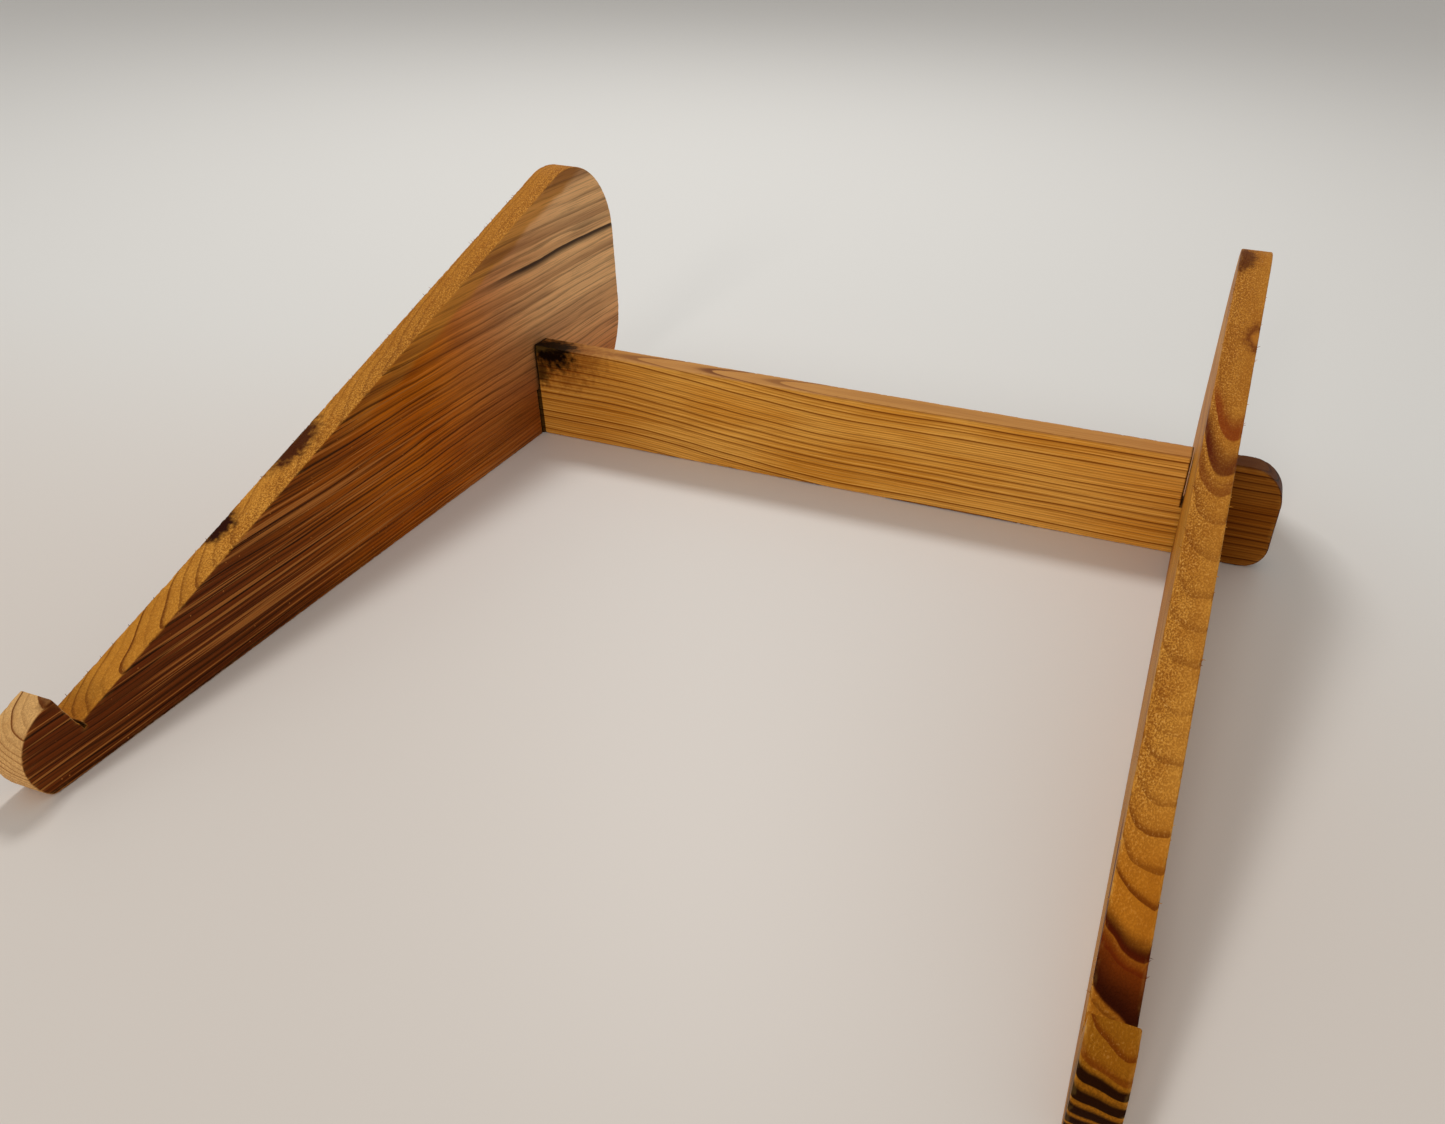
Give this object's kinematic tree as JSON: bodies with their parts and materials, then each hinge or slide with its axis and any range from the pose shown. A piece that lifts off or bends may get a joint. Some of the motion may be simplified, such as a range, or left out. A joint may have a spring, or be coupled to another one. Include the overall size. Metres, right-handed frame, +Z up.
{
  "type": "knock-down wooden desk stand",
  "caption": "Knock-down wooden stand: two wedge-shaped sides with front lips, slotted over a cross rail, to hold a flat device at a slope.",
  "frame": {"origin": "on the table, in the middle of the stand's footprint", "axes": "+X to the right along the cross rail, +Y from the lips towards the high back, +Z up"},
  "size_m": [0.374, 0.3598, 0.1125],
  "materials": {
    "side_wood_left": "oiled softwood, sanded faces, sawn edges",
    "side_wood_right": "oiled softwood, sanded faces, sawn edges",
    "rail_wood": "oiled softwood, planed, eased edges"
  },
  "bodies": {
    "rail": {"cross_rail": "rail_wood"},
    "left": {"left_side": "side_wood_left"},
    "right": {"right_side": "side_wood_right"}
  },
  "joints": [
    {"name": "left_lift", "type": "slide", "parent": "rail", "child": "left", "axis": [0, 0, 1], "range_m": [0, 0.024]},
    {"name": "right_lift", "type": "slide", "parent": "rail", "child": "right", "axis": [0, 0, 1], "range_m": [0, 0.024]}
  ]
}
